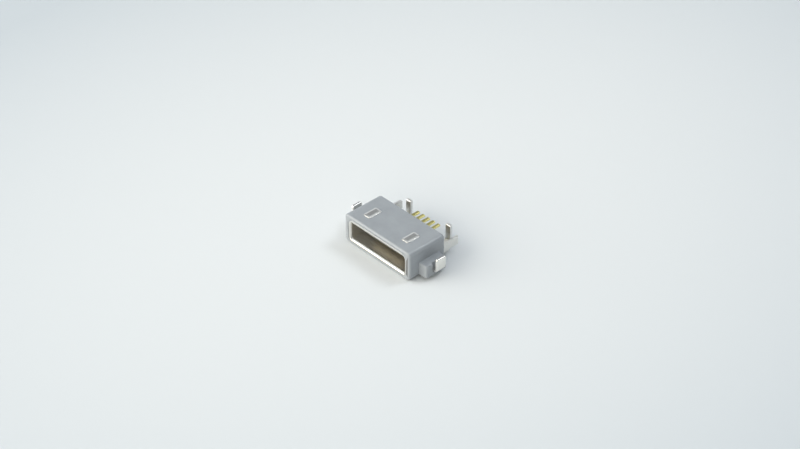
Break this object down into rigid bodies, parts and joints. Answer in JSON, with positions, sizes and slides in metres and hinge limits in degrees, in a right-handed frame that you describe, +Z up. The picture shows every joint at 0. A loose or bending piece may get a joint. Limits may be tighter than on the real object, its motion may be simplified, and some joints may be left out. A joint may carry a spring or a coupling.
{
  "type": "micro usb socket",
  "caption": "Mid-mount board socket for a small flat plug: bright metal sleeve in a grey moulded housing with side wings, solder legs and gold contact tails.",
  "frame": {"origin": "centre of the plug mouth, in the plane of its rim", "axes": "+X across the mouth, +Y into the socket, +Z up towards the board that it is soldered to; a plug leaves along -Y"},
  "size_m": [0.011, 0.0064, 0.0031],
  "materials": {
    "housing": "satin moulded",
    "shell": "bright tin plate",
    "insulator": "matt moulded",
    "contacts": "gold plate",
    "nails": "bright tin plate"
  },
  "bodies": {
    "root": {"housing": "housing", "shell": "shell", "insulator": "insulator", "contact_1": "contacts", "contact_2": "contacts", "contact_3": "contacts", "contact_4": "contacts", "contact_5": "contacts", "nail_left": "nails", "nail_right": "nails"}
  },
  "joints": []
}
